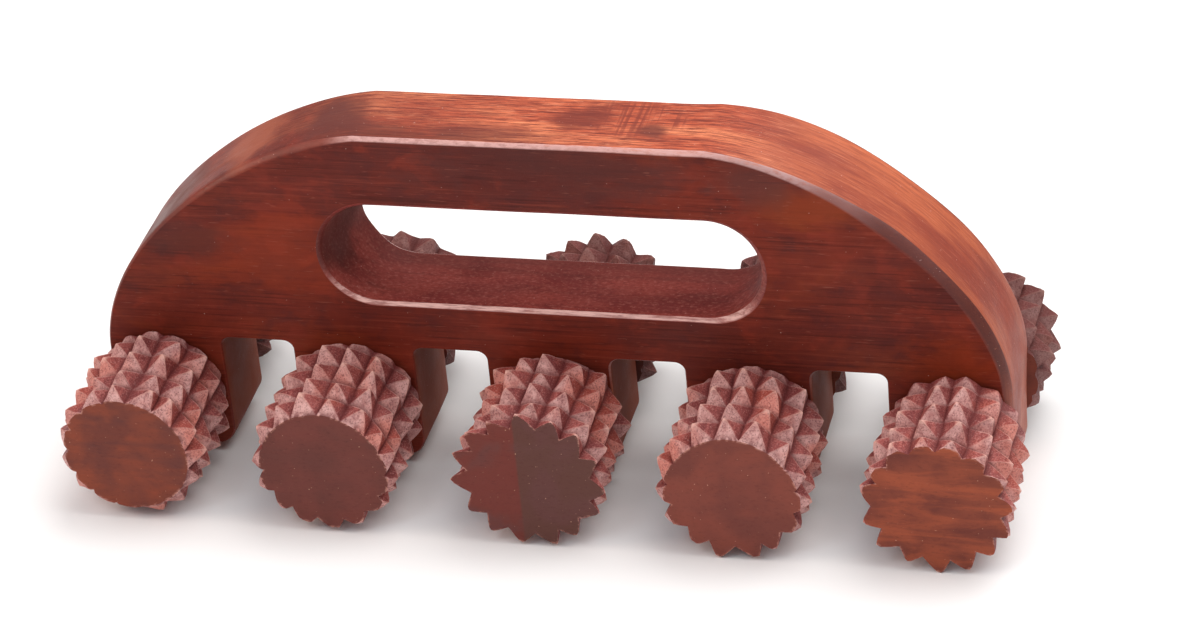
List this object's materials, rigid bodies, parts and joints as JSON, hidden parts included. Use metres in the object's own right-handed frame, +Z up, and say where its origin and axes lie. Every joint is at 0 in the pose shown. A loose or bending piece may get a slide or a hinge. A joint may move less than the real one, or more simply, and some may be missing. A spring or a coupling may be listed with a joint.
{
  "type": "foot massage roller",
  "caption": "Arched wooden handle board with a hand slot and a comb of legs, each carrying a spiked wooden massage roller on both sides of a shared turning axle.",
  "frame": {"origin": "on the floor under the middle of the handle board, where the roller tips stand", "axes": "+X along the handle board, +Y along the axles towards the back rollers, +Z up"},
  "size_m": [0.2242, 0.0808, 0.088],
  "materials": {
    "handle_wood": "varnished red-brown hardwood, satin",
    "roller_wood": "carved hardwood, dusty red-brown, matt",
    "axle_wood": "plain wooden dowel"
  },
  "bodies": {
    "handle": {"handle_board": "handle_wood"},
    "wheelset_1": {"axle_1": "axle_wood", "front_roller_1": "roller_wood", "back_roller_1": "roller_wood"},
    "wheelset_2": {"axle_2": "axle_wood", "front_roller_2": "roller_wood", "back_roller_2": "roller_wood"},
    "wheelset_3": {"axle_3": "axle_wood", "front_roller_3": "roller_wood", "back_roller_3": "roller_wood"},
    "wheelset_4": {"axle_4": "axle_wood", "front_roller_4": "roller_wood", "back_roller_4": "roller_wood"},
    "wheelset_5": {"axle_5": "axle_wood", "front_roller_5": "roller_wood", "back_roller_5": "roller_wood"}
  },
  "joints": [
    {"name": "wheelset_1_spin", "type": "hinge", "parent": "handle", "child": "wheelset_1", "pos_m": [-0.0938, 0, 0.018], "axis": [0, 1, 0], "continuous": true},
    {"name": "wheelset_2_spin", "type": "hinge", "parent": "handle", "child": "wheelset_2", "pos_m": [-0.0469, 0, 0.018], "axis": [0, 1, 0], "continuous": true},
    {"name": "wheelset_3_spin", "type": "hinge", "parent": "handle", "child": "wheelset_3", "pos_m": [0.0014, 0, 0.018], "axis": [0, 1, 0], "continuous": true},
    {"name": "wheelset_4_spin", "type": "hinge", "parent": "handle", "child": "wheelset_4", "pos_m": [0.0478, 0, 0.018], "axis": [0, 1, 0], "continuous": true},
    {"name": "wheelset_5_spin", "type": "hinge", "parent": "handle", "child": "wheelset_5", "pos_m": [0.0938, 0, 0.018], "axis": [0, 1, 0], "continuous": true}
  ]
}
